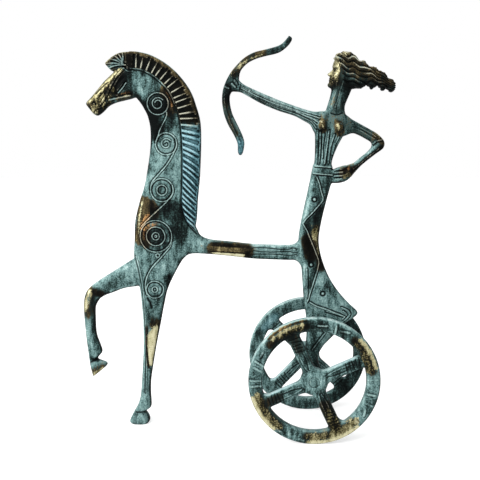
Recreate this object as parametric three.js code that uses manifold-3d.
import * as THREE from 'three';
import Module from 'manifold-3d';
import { mergeVertices } from 'three/addons/utils/BufferGeometryUtils.js';

// A small cast bronze: a horse joined by a pole to an archer who stands on the axle of two wheels.
// Millimetres, +Z up. The horse looks towards -X, and the side with the carving looks towards -Y.
// The origin is on the ground, halfway along the length.

const wasm = await Module();
wasm.setup();

// Driving dimensions
const WHEEL_DIAMETER = 64;
const WHEEL_THICKNESS = 4.3;
const WHEEL_TRACK = 40.4;
const RIM_WIDTH = 6.7;
const SPOKE_COUNT = 4;
const SPOKE_WIDTH = 6.1;
const HUB_FILLET = 5.3;
const WHEEL_EDGE_ROUNDING = 0.6;
const HUB_DOME_RADIUS = 5.6;
const HUB_DOME_HEIGHT = 0.5;
const HUB_DOME_FLAT = 0.7;
const NEAR_SPOKE_ANGLE = 25;
const FAR_SPOKE_ANGLE = 47;
// The hand-filed corners where the spokes meet the rim, two to each opening, from the first spoke on.
const NEAR_RIM_FILLETS = [[1.4, 2], [3, 3], [1.8, 1.8], [4, 1.5]];
const FAR_RIM_FILLETS = [[2.5, 2], [3.5, 3.5], [3, 3], [3.5, 3.5]];
const RIM_TICKS = 8;
const TICK_WIDTH = 0.9;
const TICK_HEIGHT = 0.35;
const TICK_LENGTH = RIM_WIDTH - 2;
const AXLE_X = 39.6;
const AXLE_DIAMETER = 3.4;
const AXLE_HEAD_DIAMETER = 4.8;
const AXLE_HEAD_DEPTH = 0.9;
const AXLE_HEAD_EDGE = 0.45;
const RUNNING_GAP = 0.3;
const TUBE_END_GAP = 0.45;
const BOSS_DIAMETER = 6.6;
const BOSS_EYE_DIAMETER = 9.4;
const BOSS_EYE_THICKNESS = 7.4;
const BOSS_SHOULDER = 1;
const MANE_FOOT_HEIGHT = 105;
const MANE_GROOVES = 17;
const MANE_GROOVE_WIDTH = 1.0;
const MANE_GROOVE_DEPTH = 0.6;
const MANE_ROOT_FACE = 3.55;
const MANE_RIM_FACE = 1.7;
const LINE_WIDTH = 0.8;
const LINE_DEPTH = 0.5;
const HEAD_FACE = 3.1;
const DOT_RADIUS = 1.2;
const SKIRT_FACE = 3.45;
const STAND_FACE = 3.15;
const HAND_FACE = 2.4;
const BREAST_RADIUS = 2.7;
const BREAST_Y = -3.1;
const BELT_HEIGHT = 1.3;
const BELT_PROUD = 0.5;
const CHIN = [45.5, 173.3];
const CROWN = [49.6, 189.8];

// The casting's round-edged sections: how many sides they have, how much fuller than an ellipse they
// are, and how far their flat faces stand out as a share of half the thickness.
const BODY_SIDES = 10;
const SLIM_SIDES = 8;
const BODY_FULLNESS = 2.7;
const SLIM_FULLNESS = 2.3;
const FLAT_FACE = 0.963;

// How finely the round parts are faceted.
const RIM_SIDES = 40;
const HUB_SIDES = 14;
const AXLE_SIDES = 12;
const HUB_ARC_STEPS = 3;
const RIM_ARC_STEPS = 5;
const CORNER_ARC_STEPS = 2;
const RING_SIDES = 12;
const BALL_SIDES = 8;
const BALL_RINGS = 5;
const WELD_DISTANCE = 1e-5;

const AXLE_HEIGHT = WHEEL_DIAMETER / 2;
const WHEEL_RADIUS = WHEEL_DIAMETER / 2;
const RIM_INNER_RADIUS = WHEEL_RADIUS - RIM_WIDTH;
const WHEEL_Y = WHEEL_TRACK / 2;

// Turns a three.js geometry into a solid that can be joined and cut.
function toSolid(geometry) {
  const bare = geometry.index ? geometry.toNonIndexed() : geometry.clone();
  bare.deleteAttribute('normal');
  bare.deleteAttribute('uv');
  const merged = mergeVertices(bare, WELD_DISTANCE);
  const triVerts = new Uint32Array(merged.index.array);
  const vertProperties = new Float32Array(merged.attributes.position.array);
  if (signedVolume(vertProperties, triVerts) < 0) turnInsideOut(triVerts);
  return new wasm.Manifold(new wasm.Mesh({ numProp: 3, vertProperties, triVerts }));
}

// Six times the volume of a closed mesh, negative when its faces point inwards.
function signedVolume(points, corners) {
  const [a, b, c] = [new THREE.Vector3(), new THREE.Vector3(), new THREE.Vector3()];
  let total = 0;
  for (let i = 0; i < corners.length; i += 3) {
    a.fromArray(points, 3 * corners[i]);
    b.fromArray(points, 3 * corners[i + 1]);
    c.fromArray(points, 3 * corners[i + 2]);
    total += a.dot(b.cross(c));
  }
  return total;
}

function turnInsideOut(corners) {
  for (let i = 0; i < corners.length; i += 3) {
    [corners[i + 1], corners[i + 2]] = [corners[i + 2], corners[i + 1]];
  }
}

function toGeometry(solid) {
  const mesh = solid.getMesh();
  const geometry = new THREE.BufferGeometry();
  geometry.setAttribute('position', new THREE.Float32BufferAttribute(mesh.vertProperties, 3));
  geometry.setIndex(Array.from(mesh.triVerts));
  geometry.computeVertexNormals();
  return geometry;
}

function joinAll(solids) {
  return solids.reduce((whole, next) => whole.add(next));
}

function cutAll(body, cutters) {
  return body.subtract(joinAll(cutters));
}

// A limb of the casting. Each station is [x1, z1, x2, z2, t]: the two edges of the outline at that
// place and half the thickness. The sections between the edges are rounded, fuller than an ellipse.
function limb(rows, { sides = BODY_SIDES, fullness = BODY_FULLNESS, y = 0 } = {}) {
  const points = [];
  for (const [x1, z1, x2, z2, t] of rows) {
    for (let k = 0; k < sides; k += 1) {
      const angle = (2 * Math.PI * k) / sides;
      const across = roundedStep(Math.cos(angle), fullness);
      const out = roundedStep(Math.sin(angle), fullness);
      points.push(
        (x1 + x2) / 2 + (across * (x2 - x1)) / 2,
        y + out * t,
        (z1 + z2) / 2 + (across * (z2 - z1)) / 2,
      );
    }
  }
  const corners = [];
  for (let i = 0; i < rows.length - 1; i += 1) {
    for (let k = 0; k < sides; k += 1) {
      const [a, b] = [i * sides + k, i * sides + ((k + 1) % sides)];
      corners.push(a, b, b + sides, a, b + sides, a + sides);
    }
  }
  for (const [row, turn] of [[0, true], [rows.length - 1, false]]) {
    const centre = points.length / 3;
    const [x1, z1, x2, z2] = rows[row];
    points.push((x1 + x2) / 2, y, (z1 + z2) / 2);
    for (let k = 0; k < sides; k += 1) {
      const [a, b] = [row * sides + k, row * sides + ((k + 1) % sides)];
      corners.push(...(turn ? [b, a, centre] : [a, b, centre]));
    }
  }
  const geometry = new THREE.BufferGeometry();
  geometry.setAttribute('position', new THREE.Float32BufferAttribute(points, 3));
  geometry.setIndex(corners);
  return toSolid(geometry);
}

// The superellipse's coordinate for a cosine or sine.
function roundedStep(value, fullness) {
  return Math.abs(value) < WELD_DISTANCE ? 0 : Math.sign(value) * Math.abs(value) ** (2 / fullness);
}

// A V-shaped cutter between two points of a surface that looks towards -Y or +Y.
function vCutter(from, to, width, depth, outward) {
  const start = new THREE.Vector3(...from);
  const end = new THREE.Vector3(...to);
  const along = end.clone().sub(start);
  const side = new THREE.Vector3(-along.z, 0, along.x).normalize().multiplyScalar(width);
  const lift = new THREE.Vector3(0, outward * depth, 0);
  const ring = (p) => [
    p.clone().add(side).add(lift),
    p.clone().sub(side).add(lift),
    p.clone().sub(lift),
  ];
  const points = [...ring(start), ...ring(end)].flatMap((p) => [p.x, p.y, p.z]);
  const geometry = new THREE.BufferGeometry();
  geometry.setAttribute('position', new THREE.Float32BufferAttribute(points, 3));
  geometry.setIndex([0, 2, 1, 3, 4, 5, 0, 1, 4, 0, 4, 3, 1, 2, 5, 1, 5, 4, 2, 0, 3, 2, 3, 5]);
  return toSolid(geometry);
}

// An engraved line through [x, z] points on the surface at height y.
function engravedLine(points, y) {
  const cutters = [];
  for (let i = 0; i < points.length - 1; i += 1) {
    const from = [points[i][0], y, points[i][1]];
    const to = [points[i + 1][0], y, points[i + 1][1]];
    cutters.push(vCutter(from, to, LINE_WIDTH, LINE_DEPTH, Math.sign(y)));
  }
  return cutters;
}

// An engraved ring on the surface at height y.
function engravedRing([x, z], radius, y) {
  const profile = [
    new THREE.Vector2(radius - LINE_WIDTH, LINE_DEPTH),
    new THREE.Vector2(radius, -LINE_DEPTH),
    new THREE.Vector2(radius + LINE_WIDTH, LINE_DEPTH),
    new THREE.Vector2(radius - LINE_WIDTH, LINE_DEPTH),
  ];
  const ring = new THREE.LatheGeometry(profile, RING_SIDES);
  if (y < 0) ring.rotateX(Math.PI);
  ring.translate(x, y, z);
  return toSolid(ring);
}

// The standing foreleg, the chest and the neck, from the hoof's sole up to the poll.
const HORSE_BODY = [
  [-54.4, 0, -45.9, 0, 3],
  [-55.4, 1.3, -44.7, 1.5, 3.6],
  [-54.1, 4.2, -45, 4.0, 3.5],
  [-52.8, 6.8, -46.6, 6.9, 3.0],
  [-51.3, 9.4, -44, 9.0, 3.1],
  [-50.2, 12, -43.7, 11.8, 3.1],
  [-49.2, 16, -43.9, 16.5, 2.8],
  [-48.5, 23, -43.6, 24, 2.6],
  [-47.7, 33, -42.0, 34, 2.7],
  [-47.1, 43, -40.2, 44, 2.9],
  [-47, 54, -38.0, 54.5, 3.1],
  [-47.5, 64, -35.9, 65, 3.3],
  [-48.3, 73, -33.9, 73, 3.5],
  [-50.2, 81, -29.7, 82, 3.7],
  [-51, 90, -24, 92, 3.9],
  [-50.4, 99, -20.5, 101, 4],
  [-49.9, 107.5, -18.7, 108.5, 4],
  [-47.5, 117.3, -18.0, 118.5, 4],
  [-44.8, 125.4, -17.1, 127, 3.9],
  [-42.9, 134.5, -16.5, 136.5, 3.9],
  [-41.4, 144.5, -16.1, 147, 3.8],
  [-41.2, 153.3, -16.4, 157, 3.8],
  [-42.3, 159.2, -18.6, 165.2, 3.8],
  [-43.8, 162.5, -20.6, 170.6, 3.8],
  [-45.6, 165.6, -23.7, 175.6, 3.7],
  [-48, 168.6, -28.2, 180.8, 3.6],
  [-51, 172, -33.8, 185.3, 3.5],
  [-53.2, 176.6, -40, 188.6, 3.3],
  [-54, 180.4, -45.6, 190.1, 3.1],
  [-54.5, 184.5, -50.4, 190.5, 2.8],
];

const HORSE_HEAD = [
  [-44, 187, -43, 172, 3.3],
  [-53.4, 184.8, -48.4, 168.5, 3.7],
  [-59, 180.1, -53.1, 167.2, 3.5],
  [-63.2, 176.4, -57.6, 166.1, 3.1],
  [-67, 172.1, -61.3, 164.4, 2.8],
  [-70, 168.8, -64.2, 161.6, 2.6],
  [-72.3, 166.5, -67.0, 159.8, 2.3],
  [-72.8, 165.5, -69.0, 160.6, 1.3],
];

const FORELOCK = [
  [-47.5, 190.4, -50, 180, 2.7],
  [-54.6, 190, -56, 181, 2.6],
  [-58.7, 188.3, -59.4, 181.2, 2.2],
  [-61.7, 186, -61.3, 183, 1.6],
  [-62.8, 184.9, -62.4, 184.1, 0.8],
];

const RAISED_FORELEG = [
  [-44, 92, -42, 77, 3.2],
  [-51.4, 88.3, -48.6, 74.4, 3.3],
  [-57.6, 84.5, -55.8, 73.2, 3.2],
  [-64.1, 80.4, -61.7, 71, 3.1],
  [-69.2, 77.2, -66.2, 69.3, 3],
  [-73.5, 74, -68.9, 67.6, 3],
  [-76.2, 70.7, -70.4, 65.6, 3],
  [-77.5, 65.5, -71.6, 62.9, 2.8],
  [-77.6, 58.5, -71.8, 58, 2.5],
  [-77.1, 49, -71.6, 48.8, 2.4],
  [-76.6, 42.5, -69.6, 42.2, 2.5],
  [-76.2, 39, -69.0, 38.8, 2.7],
  [-75.9, 35.8, -71.5, 35.1, 2.3],
  [-75.4, 31.3, -67, 33.2, 2.8],
  [-74.2, 25.5, -66.3, 32, 2.8],
];

const POLE = [
  [-24, 112, -34, 80, 3.1],
  [-19, 104.5, -26.8, 87.4, 3.2],
  [-16.9, 100.6, -22.4, 91, 3.3],
  [-12, 98.5, -14, 91.1, 3.3],
  [-2, 97.5, -2, 90.1, 3.3],
  [10, 96.3, 10, 88.8, 3.3],
  [26, 95.9, 26, 88.2, 3.3],
  [30.6, 96.5, 31.4, 87.8, 3.3],
  [33.2, 100, 34.4, 84, 3.3],
  [36, 110, 37, 76, 3],
];

const SKIRT_AND_STAND = [
  [39.2, 136, 48.2, 135.6, 3.5],
  [38, 130, 48.8, 129.5, 3.6],
  [36.8, 124, 47.5, 124, 3.6],
  [35.2, 116, 45.5, 116, 3.6],
  [33.4, 107, 43.6, 107, 3.6],
  [32.4, 99, 42.6, 99, 3.6],
  [33, 92, 43.5, 92, 3.6],
  [34.1, 84, 46.1, 84, 3.6],
  [34.7, 77, 49.6, 77, 3.5],
  [35.2, 70.5, 54.3, 70.5, 3.4],
  [35.8, 65.5, 59, 65.5, 3.3],
  [36.4, 61.6, 63, 61.6, 3.2],
  [36.7, 59.4, 62.1, 59.2, 3.2],
  [37.1, 55.5, 57, 55.5, 3.2],
  [37.2, 49.5, 51.4, 49.5, 3.2],
  [36.8, 44, 46.4, 44, 3.2],
  [35.8, 38, 43.6, 38.5, 3.2],
  [35.4, 32, 43.8, 32, 3.2],
];

const TORSO = [
  [39.2, 133, 48.2, 133, 3.4],
  [39.8, 138.5, 48.4, 138, 3.4],
  [39.9, 144, 50.5, 144, 3.5],
  [39.8, 149, 53, 149, 3.6],
  [39.6, 153.5, 55.2, 153, 3.6],
  [40, 158, 55, 157.5, 3.4],
  [42.6, 161.8, 54.2, 161.2, 3],
];

const NECK = [
  [44, 158.5, 54.6, 158.5, 3],
  [45.2, 163.4, 53.9, 163.6, 3.1],
  [46.4, 167.4, 55.1, 167.4, 3.1],
  [47.2, 171, 56.6, 171, 3.3],
  [47.6, 175.5, 58, 175.5, 3.6],
];

// The archer's face in profile: how far up from the chin to the crown, how far it stands in front of
// the line between them, the depth of the head behind it, and half the head's width.
const FACE_ROWS = [
  [0, 0, 4, 1.9],
  [0.05, 0.5, 8, 2.6],
  [0.13, 0.1, 9.5, 3.3],
  [0.19, 0.5, 10.5, 3.7],
  [0.27, 0.2, 11, 4.2],
  [0.33, 1.6, 12.2, 4.4],
  [0.5, 0.3, 11.6, 4.7],
  [0.57, 0.9, 12, 4.8],
  [0.72, 0.9, 11.6, 4.9],
  [0.86, 0, 9.8, 4.4],
  [0.96, -1.9, 6.4, 3],
  [1, -3.4, 3.2, 1.4],
];

const HAIR = [
  [48.8, 188.2, 52.6, 177, 4.7],
  [54, 190.0, 55, 173.6, 5.2],
  [58.4, 187.8, 57.6, 172.4, 4.9],
  [60.1, 185.7, 60.4, 172.7, 4.4],
  [62.8, 185.5, 62.4, 172.9, 4.1],
  [64.3, 183.2, 64.2, 174.6, 3.9],
  [65.4, 182.6, 66.6, 172.2, 3.7],
  [68.4, 182.4, 69, 174, 3.5],
  [69.4, 180.3, 70.2, 173.6, 3.3],
  [72.6, 180.1, 71.9, 171.3, 3.1],
  [73.9, 177.3, 73.7, 172.8, 2.8],
  [76.6, 176.6, 76, 170.6, 2.4],
  [77.9, 174.6, 77.7, 172, 1.3],
];

// Four locks that stand proud of the hair: where each starts and ends, its half height and its waves.
const LOCKS = [
  { from: [50.5, 187], to: [63.4, 184.6], half: 1.5, wave: 0.35 },
  { from: [51.5, 183.6], to: [68.2, 181], half: 1.5, wave: 0.5 },
  { from: [53.5, 180.3], to: [72.5, 178.4], half: 1.5, wave: 0.6 },
  { from: [55, 177], to: [76.9, 173.6], half: 1.6, wave: 0.7 },
];
const LOCK_STEPS = 5;
const LOCK_SIDES = 5;
const LOCK_FACE = 2.5;
const LOCK_END = 0.75;
const LOCK_WAVES = 2;

// The two raised belts, [x1, z1, x2, z2, t] along their middles, and the breasts' centres.
const BELTS = [
  [39.4, 135.4, 48.3, 134.7, 3.5],
  [38.7, 131.8, 48.3, 131, 3.6],
];
const BREASTS = [[43, 154.9], [50.8, 153.8]];

const BOW_ARM = [
  [47, 162, 43, 149, 2.8],
  [42.4, 161.9, 39.4, 151.6, 2.8],
  [39.2, 161.7, 37.4, 155.2, 2.7],
  [34.6, 162.8, 34, 157.3, 2.6],
  [30, 164.3, 29.3, 159.7, 2.5],
  [22.5, 167, 21.6, 162.1, 2.5],
  [14.6, 170.2, 13.2, 165.6, 2.5],
  [8.4, 172.9, 6.8, 169.1, 2.4],
  [4.2, 175.1, 3.2, 170.9, 2.5],
  [0.6, 178.4, -0.6, 171.3, 2.9],
  [-2.6, 177.2, -3.6, 172.4, 2.4],
];

const BOW = [
  [26.5, 197.5, 28.1, 196.3, 0.9],
  [25.2, 195.8, 27.8, 194.9, 1.3],
  [23, 193.6, 25.7, 192.2, 1.5],
  [20, 192.3, 21.6, 189.4, 1.6],
  [14.5, 190.9, 15.4, 187.9, 1.6],
  [9.6, 189.7, 11, 186.7, 1.7],
  [5.2, 187.3, 7, 184.8, 1.8],
  [1.7, 184.1, 4, 182, 1.9],
  [-1.2, 180.8, 2.9, 179.6, 2.1],
  [-3.5, 177, 2.4, 176.6, 2.3],
  [-5, 173.4, 0.4, 173, 2.3],
  [-5.7, 170, -1.7, 169.8, 2],
  [-5.8, 166, -1.9, 166.2, 1.8],
  [-4.9, 160.7, -0.8, 161, 1.8],
  [-3, 155.6, 1.6, 155.9, 1.7],
  [-0.2, 150.7, 4.1, 150.7, 1.6],
  [1.7, 146.4, 5.2, 146.8, 1.5],
  [1.9, 142.3, 4.7, 142.6, 1.4],
  [2.6, 140.6, 3.8, 140.6, 0.8],
];

const AKIMBO_ARM = [
  [50, 162, 48, 149, 2.8],
  [54.6, 160.2, 53.8, 149.8, 2.8],
  [57.6, 158, 57.8, 151.2, 2.7],
  [62, 155.6, 61, 150.3, 2.6],
  [66.6, 153.1, 64.8, 148.3, 2.5],
  [70.3, 150.9, 66.9, 147, 2.5],
  [73.5, 147.6, 67.6, 145.4, 2.5],
  [73.4, 144.2, 66.6, 143.5, 2.3],
  [69.9, 141.4, 64.4, 141.3, 2.2],
  [66.2, 138.5, 61.6, 139.1, 2.2],
  [62.8, 135.6, 59.2, 137, 2.2],
  [59.7, 132.2, 56.6, 136.1, 2.2],
  [56.4, 128.5, 53, 134.8, 2.3],
  [52, 126.9, 49.8, 133.8, 2.5],
  [47.4, 127, 46, 134.5, 2.8],
];

const MANE_INNER_LINE = [
  [-50, 182], [-44.6, 181.4], [-38.2, 178.2], [-32, 172.2], [-28.6, 165.3],
  [-26.2, 156], [-25.4, 144], [-25.5, 130], [-26.0, 118], [-24.9, 111],
];

// The rings the curls of the neck and chest are drawn in.
const NECK_RINGS = [
  { centre: [-36.8, 165.4], radius: 5.2 },
  { centre: [-33, 146.1], radius: 5.3 },
  { centre: [-35.5, 123.5], radius: 5.7 },
  { centre: [-39, 100.4], radius: 8 },
  { centre: [-40.1, 73], radius: 4.4 },
];

// The lines that carry one ring's curl to the next.
const NECK_LINKS = [
  [[-32.6, 161.4], [-36.6, 151.8]],
  [[-28.6, 144.6], [-30.6, 139.5], [-37, 130.7], [-41, 126]],
  [[-31.8, 119], [-37.4, 113.8], [-44.6, 106]],
  [[-33, 94.6], [-37.2, 89], [-43, 81.6], [-44.6, 75]],
];

const FOLD_LINES = [
  [[41.9, 151], [42.1, 137.4]],
  [[44.3, 151], [44.3, 137.4]],
  [[48.6, 149.6], [46.2, 137.6]],
];

const SKIRT_ZIGZAG = [
  [40.8, 129.4], [44.2, 118.4], [34.9, 107], [36.9, 102.5], [42.5, 88], [37.6, 67.2],
];
const SKIRT_BORDER = [[38.6, 66.6], [42, 64.8], [55.8, 60]];
const STAND_LINE = [[46.4, 51], [40.4, 42.2]];
const SKIRT_DOTS = [[39.8, 119], [38.8, 86.3], [45, 71.5]];
const FINGER_LINES = [
  [[48.4, 131.4], [53, 132.4]],
  [[48.2, 129.4], [53.4, 130.4]],
];

// The lines of the horse's head, cut on both sides: the ridge of the nose, the lid and the jaw.
const HEAD_LINES = [
  [[-53.6, 182.2], [-56.8, 178], [-58.8, 172.4], [-62.6, 168.4]],
  [[-55.5, 170.8], [-51.9, 174.6]],
  [[-59.4, 167.4], [-50.4, 169.4]],
];

// The cutters of the mane: radial at the poll, and falling towards its edge further down.
function maneCutters() {
  const edgeStations = HORSE_BODY.slice(HORSE_BODY.findIndex((row) => row[1] > MANE_FOOT_HEIGHT));
  const edgePoints = edgeStations.map(([, , x, z]) => new THREE.Vector2(x, z));
  const edge = new THREE.SplineCurve(edgePoints.reverse());
  const inner = new THREE.SplineCurve(MANE_INNER_LINE.map(([x, z]) => new THREE.Vector2(x, z)));
  const cutters = [];
  for (let i = 0; i < MANE_GROOVES; i += 1) {
    const u = (i + 0.5) / MANE_GROOVES;
    const rim = edge.getPointAt(u);
    const root = inner.getPointAt(u);
    for (const face of [-1, 1]) {
      const from = [root.x, face * MANE_ROOT_FACE, root.y];
      const to = [rim.x, face * MANE_RIM_FACE, rim.y];
      cutters.push(vCutter(from, to, MANE_GROOVE_WIDTH, MANE_GROOVE_DEPTH, face));
    }
  }
  return cutters;
}

// How far out the carved side of the neck and chest stands at a height.
function carvedFace(height) {
  const rows = HORSE_BODY.map(([, z1, , z2, t]) => [(z1 + z2) / 2, t]);
  const above = rows.findIndex(([z]) => z > height);
  const [[z1, t1], [z2, t2]] = [rows[above - 1], rows[above]];
  return -FLAT_FACE * THREE.MathUtils.lerp(t1, t2, (height - z1) / (z2 - z1));
}

function horse() {
  const bodies = [
    limb(HORSE_BODY),
    limb(HORSE_HEAD),
    limb(FORELOCK, { sides: SLIM_SIDES }),
    limb(RAISED_FORELEG),
  ];
  const cutters = maneCutters();
  for (const { centre, radius } of NECK_RINGS) {
    cutters.push(engravedRing(centre, radius, carvedFace(centre[1])));
  }
  for (const link of NECK_LINKS) cutters.push(...engravedLine(link, carvedFace(link[0][1])));
  for (const face of [-1, 1]) {
    for (const line of HEAD_LINES) cutters.push(...engravedLine(line, face * HEAD_FACE));
  }
  return cutAll(joinAll(bodies), cutters);
}

function archerHead() {
  const chin = new THREE.Vector2(...CHIN);
  const axis = new THREE.Vector2(...CROWN).sub(chin);
  const height = axis.length();
  axis.normalize();
  const forward = new THREE.Vector2(-axis.y, axis.x);
  const stations = FACE_ROWS.map(([up, front, depth, halfWidth]) => {
    const face = chin.clone().addScaledVector(axis, up * height).addScaledVector(forward, front);
    const back = face.clone().addScaledVector(forward, -depth);
    return [face.x, face.y, back.x, back.y, halfWidth];
  });
  return limb(stations, { fullness: SLIM_FULLNESS });
}

function lock({ from, to, half, wave }, face) {
  const stations = [];
  for (let i = 0; i <= LOCK_STEPS; i += 1) {
    const s = i / LOCK_STEPS;
    const x = THREE.MathUtils.lerp(from[0], to[0], s);
    const z = THREE.MathUtils.lerp(from[1], to[1], s) + wave * Math.sin(2 * Math.PI * LOCK_WAVES * s);
    const swell = half * THREE.MathUtils.lerp(LOCK_END, 1, Math.sin(Math.PI * s));
    stations.push([x, z + swell, x, z - swell, swell]);
  }
  return limb(stations, { sides: LOCK_SIDES, fullness: 2, y: face * LOCK_FACE });
}

function belt([x1, z1, x2, z2, t]) {
  const half = BELT_HEIGHT / 2;
  return limb([
    [x1 - BELT_PROUD, z1 - half, x2 + BELT_PROUD, z2 - half, t + BELT_PROUD],
    [x1 - BELT_PROUD, z1 + half, x2 + BELT_PROUD, z2 + half, t + BELT_PROUD],
  ]);
}

// A ball at a height y out of the middle plane: a breast, or the drill of a dot.
function ball([x, z], radius, y) {
  const sphere = new THREE.SphereGeometry(radius, BALL_SIDES, BALL_RINGS);
  sphere.rotateX(Math.PI / 2);
  sphere.translate(x, y, z);
  return toSolid(sphere);
}

function archer() {
  const slim = { sides: SLIM_SIDES, fullness: SLIM_FULLNESS };
  const bodies = [
    limb(SKIRT_AND_STAND),
    limb(TORSO),
    limb(NECK, { sides: SLIM_SIDES }),
    archerHead(),
    limb(HAIR, { sides: SLIM_SIDES }),
    limb(BOW_ARM, slim),
    limb(AKIMBO_ARM, slim),
    limb(BOW, slim),
    ...BELTS.map(belt),
    ...BREASTS.map((centre) => ball(centre, BREAST_RADIUS, BREAST_Y)),
    ...LOCKS.map((shape) => lock(shape, -1)),
    ...LOCKS.map((shape) => lock(shape, 1)),
  ];
  const cutters = [];
  for (const fold of FOLD_LINES) cutters.push(...engravedLine(fold, -SKIRT_FACE));
  cutters.push(...engravedLine(SKIRT_ZIGZAG, -SKIRT_FACE));
  cutters.push(...engravedLine(SKIRT_BORDER, -STAND_FACE));
  cutters.push(...engravedLine(STAND_LINE, -STAND_FACE));
  for (const dot of SKIRT_DOTS) cutters.push(ball(dot, DOT_RADIUS, -SKIRT_FACE));
  for (const line of FINGER_LINES) cutters.push(...engravedLine(line, -HAND_FACE));
  return cutAll(joinAll(bodies), cutters);
}

// The eye at the foot of the stand, and the tube that keeps the wheels apart, bored for the axle.
function axleBoss() {
  const bore = AXLE_DIAMETER / 2 + RUNNING_GAP;
  const tube = BOSS_DIAMETER / 2;
  const eye = BOSS_EYE_DIAMETER / 2;
  const halfEye = BOSS_EYE_THICKNESS / 2;
  const halfTube = WHEEL_Y - WHEEL_THICKNESS / 2 - TUBE_END_GAP;
  const beyond = halfTube + BOSS_SHOULDER;
  const outside = turnedAboutY([
    [0, -halfTube], [tube, -halfTube], [tube, -halfEye - BOSS_SHOULDER], [eye, -halfEye],
    [eye, halfEye], [tube, halfEye + BOSS_SHOULDER], [tube, halfTube], [0, halfTube],
  ], AXLE_SIDES);
  const inside = turnedAboutY([[0, -beyond], [bore, -beyond], [bore, beyond], [0, beyond]], AXLE_SIDES);
  return {
    outside: outside.translate(AXLE_X, 0, AXLE_HEIGHT),
    inside: inside.translate(AXLE_X, 0, AXLE_HEIGHT),
  };
}

function casting() {
  const { outside, inside } = axleBoss();
  return joinAll([horse(), limb(POLE, { sides: SLIM_SIDES }), archer(), outside]).subtract(inside);
}

// Points along an arc, from one angle to another.
function arcPoints([x, y], radius, [from, to], steps) {
  const points = [];
  for (let i = 0; i <= steps; i += 1) {
    const angle = THREE.MathUtils.lerp(from, to, i / steps);
    points.push(new THREE.Vector2(x + radius * Math.cos(angle), y + radius * Math.sin(angle)));
  }
  return points;
}

// One of the openings between two spokes: a round corner at the hub, two spoke sides, a round
// corner of its own size where each spoke meets the rim, and the rim's inside.
function spokeWindow(middle, [firstFillet, lastFillet]) {
  const half = SPOKE_WIDTH / 2;
  const spoke = Math.PI / SPOKE_COUNT;
  const acrossSpoke = spoke + Math.PI / 2;
  const hubReach = (half + HUB_FILLET) / Math.sin(spoke);
  const at = (reach, turn) => [reach * Math.cos(middle + turn), reach * Math.sin(middle + turn)];
  const reach = (fillet) => RIM_INNER_RADIUS - fillet;
  const turn = (fillet) => spoke - Math.asin((half + fillet) / reach(fillet));
  const [first, last] = [turn(firstFillet), turn(lastFillet)];
  const hubArc = [middle + acrossSpoke, middle + 2 * Math.PI - acrossSpoke];
  const firstArc = [middle - acrossSpoke, middle - first];
  const rimArc = [middle - first, middle + last];
  const lastArc = [middle + last, middle + acrossSpoke];
  return new THREE.Path([
    ...arcPoints(at(hubReach, 0), HUB_FILLET, hubArc, HUB_ARC_STEPS),
    ...arcPoints(at(reach(firstFillet), -first), firstFillet, firstArc, CORNER_ARC_STEPS),
    ...arcPoints([0, 0], RIM_INNER_RADIUS, rimArc, RIM_ARC_STEPS).slice(1, -1),
    ...arcPoints(at(reach(lastFillet), last), lastFillet, lastArc, CORNER_ARC_STEPS),
  ]);
}

// A raised bar across the rim's outer face.
function rimTick(angle, face) {
  const bar = new THREE.BoxGeometry(TICK_LENGTH, 2 * TICK_HEIGHT, TICK_WIDTH);
  bar.translate(WHEEL_RADIUS - RIM_WIDTH / 2, face, 0);
  bar.rotateY(-angle);
  return toSolid(bar);
}

// A solid turned about the Y axis from [radius, y] pairs.
function turnedAboutY(profile, segments) {
  return toSolid(new THREE.LatheGeometry(profile.map(([r, y]) => new THREE.Vector2(r, y)), segments));
}

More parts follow.
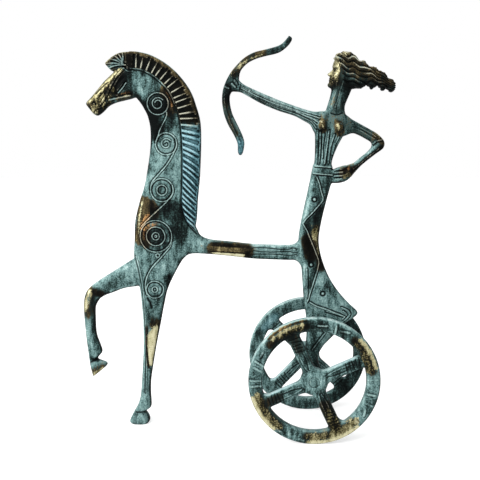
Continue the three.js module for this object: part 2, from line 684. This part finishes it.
// A wheel about the Y axis: a pierced disc with softened edges, a low dome over the hub, raised bars
// round the rim's outer face, and a bore countersunk for the axle's head. Outward is -1 or 1.
function wheel(outward, spokeAngle, rimFillets) {
  const rim = arcPoints([0, 0], WHEEL_RADIUS, [0, 2 * Math.PI], RIM_SIDES);
  const outline = new THREE.Shape(rim.slice(0, -1));
  for (let i = 0; i < SPOKE_COUNT; i += 1) {
    const middle = THREE.MathUtils.degToRad(spokeAngle) + (2 * Math.PI * (i + 0.5)) / SPOKE_COUNT;
    outline.holes.push(spokeWindow(middle, rimFillets[i]));
  }
  const disc = new THREE.ExtrudeGeometry(outline, {
    depth: WHEEL_THICKNESS - 2 * WHEEL_EDGE_ROUNDING,
    bevelThickness: WHEEL_EDGE_ROUNDING,
    bevelSize: WHEEL_EDGE_ROUNDING,
    bevelOffset: -WHEEL_EDGE_ROUNDING,
    bevelSegments: 1,
  });
  disc.translate(0, 0, -WHEEL_THICKNESS / 2 + WHEEL_EDGE_ROUNDING);
  disc.rotateX(Math.PI / 2);
  const face = (outward * WHEEL_THICKNESS) / 2;
  const dome = turnedAboutY([
    [0, 0],
    [HUB_DOME_RADIUS, 0],
    [HUB_DOME_RADIUS, face],
    [HUB_DOME_FLAT * HUB_DOME_RADIUS, face + outward * HUB_DOME_HEIGHT],
    [0, face + outward * HUB_DOME_HEIGHT],
  ], HUB_SIDES);
  const ticks = [];
  for (let i = 0; i < RIM_TICKS; i += 1) {
    ticks.push(rimTick((2 * Math.PI * i) / RIM_TICKS + THREE.MathUtils.degToRad(spokeAngle), face));
  }
  const far = outward * WHEEL_THICKNESS;
  const top = face + outward * HUB_DOME_HEIGHT;
  const bore = AXLE_DIAMETER / 2 + RUNNING_GAP;
  const sink = AXLE_HEAD_DIAMETER / 2 + RUNNING_GAP;
  const floor = top - outward * (AXLE_HEAD_DEPTH + RUNNING_GAP);
  const shoulder = top - outward * AXLE_HEAD_EDGE;
  const hole = turnedAboutY([
    [0, -far], [bore, -far], [bore, floor], [sink, shoulder], [sink, far], [0, far],
  ], AXLE_SIDES);
  return joinAll([toSolid(disc), dome, ...ticks]).subtract(hole);
}

// The axle: a rod with its ends spread into the wheels' countersinks, flush with the hubs.
function axle() {
  const end = WHEEL_Y + WHEEL_THICKNESS / 2 + HUB_DOME_HEIGHT;
  const rod = AXLE_DIAMETER / 2;
  const head = AXLE_HEAD_DIAMETER / 2;
  return turnedAboutY([
    [0, -end], [head, -end], [head, -end + AXLE_HEAD_EDGE], [rod, -end + AXLE_HEAD_DEPTH],
    [rod, end - AXLE_HEAD_DEPTH], [head, end - AXLE_HEAD_EDGE], [head, end], [0, end],
  ], AXLE_SIDES);
}

function addPiece(group, name, solid, [x, y, z], finish) {
  const mesh = new THREE.Mesh(toGeometry(solid), new THREE.MeshStandardMaterial(finish));
  mesh.name = name;
  mesh.position.set(x, y, z);
  group.add(mesh);
}

const PATINATED_BRONZE = { color: 0x5d7f7c, roughness: 0.55, metalness: 0.8 };
const WORN_BRONZE = { color: 0x6b7560, roughness: 0.5, metalness: 0.85 };
const DARK_BRONZE = { color: 0x3a4744, roughness: 0.6, metalness: 0.8 };

const nearWheel = wheel(-1, NEAR_SPOKE_ANGLE, NEAR_RIM_FILLETS);
const farWheel = wheel(1, FAR_SPOKE_ANGLE, FAR_RIM_FILLETS);

const chariot = new THREE.Group();
chariot.name = 'bronze_chariot_sculpture';
addPiece(chariot, 'horse_and_archer', casting(), [0, 0, 0], PATINATED_BRONZE);
addPiece(chariot, 'wheel_near', nearWheel, [AXLE_X, -WHEEL_Y, AXLE_HEIGHT], WORN_BRONZE);
addPiece(chariot, 'wheel_far', farWheel, [AXLE_X, WHEEL_Y, AXLE_HEIGHT], WORN_BRONZE);
addPiece(chariot, 'axle', axle(), [AXLE_X, 0, AXLE_HEIGHT], DARK_BRONZE);

export default chariot;
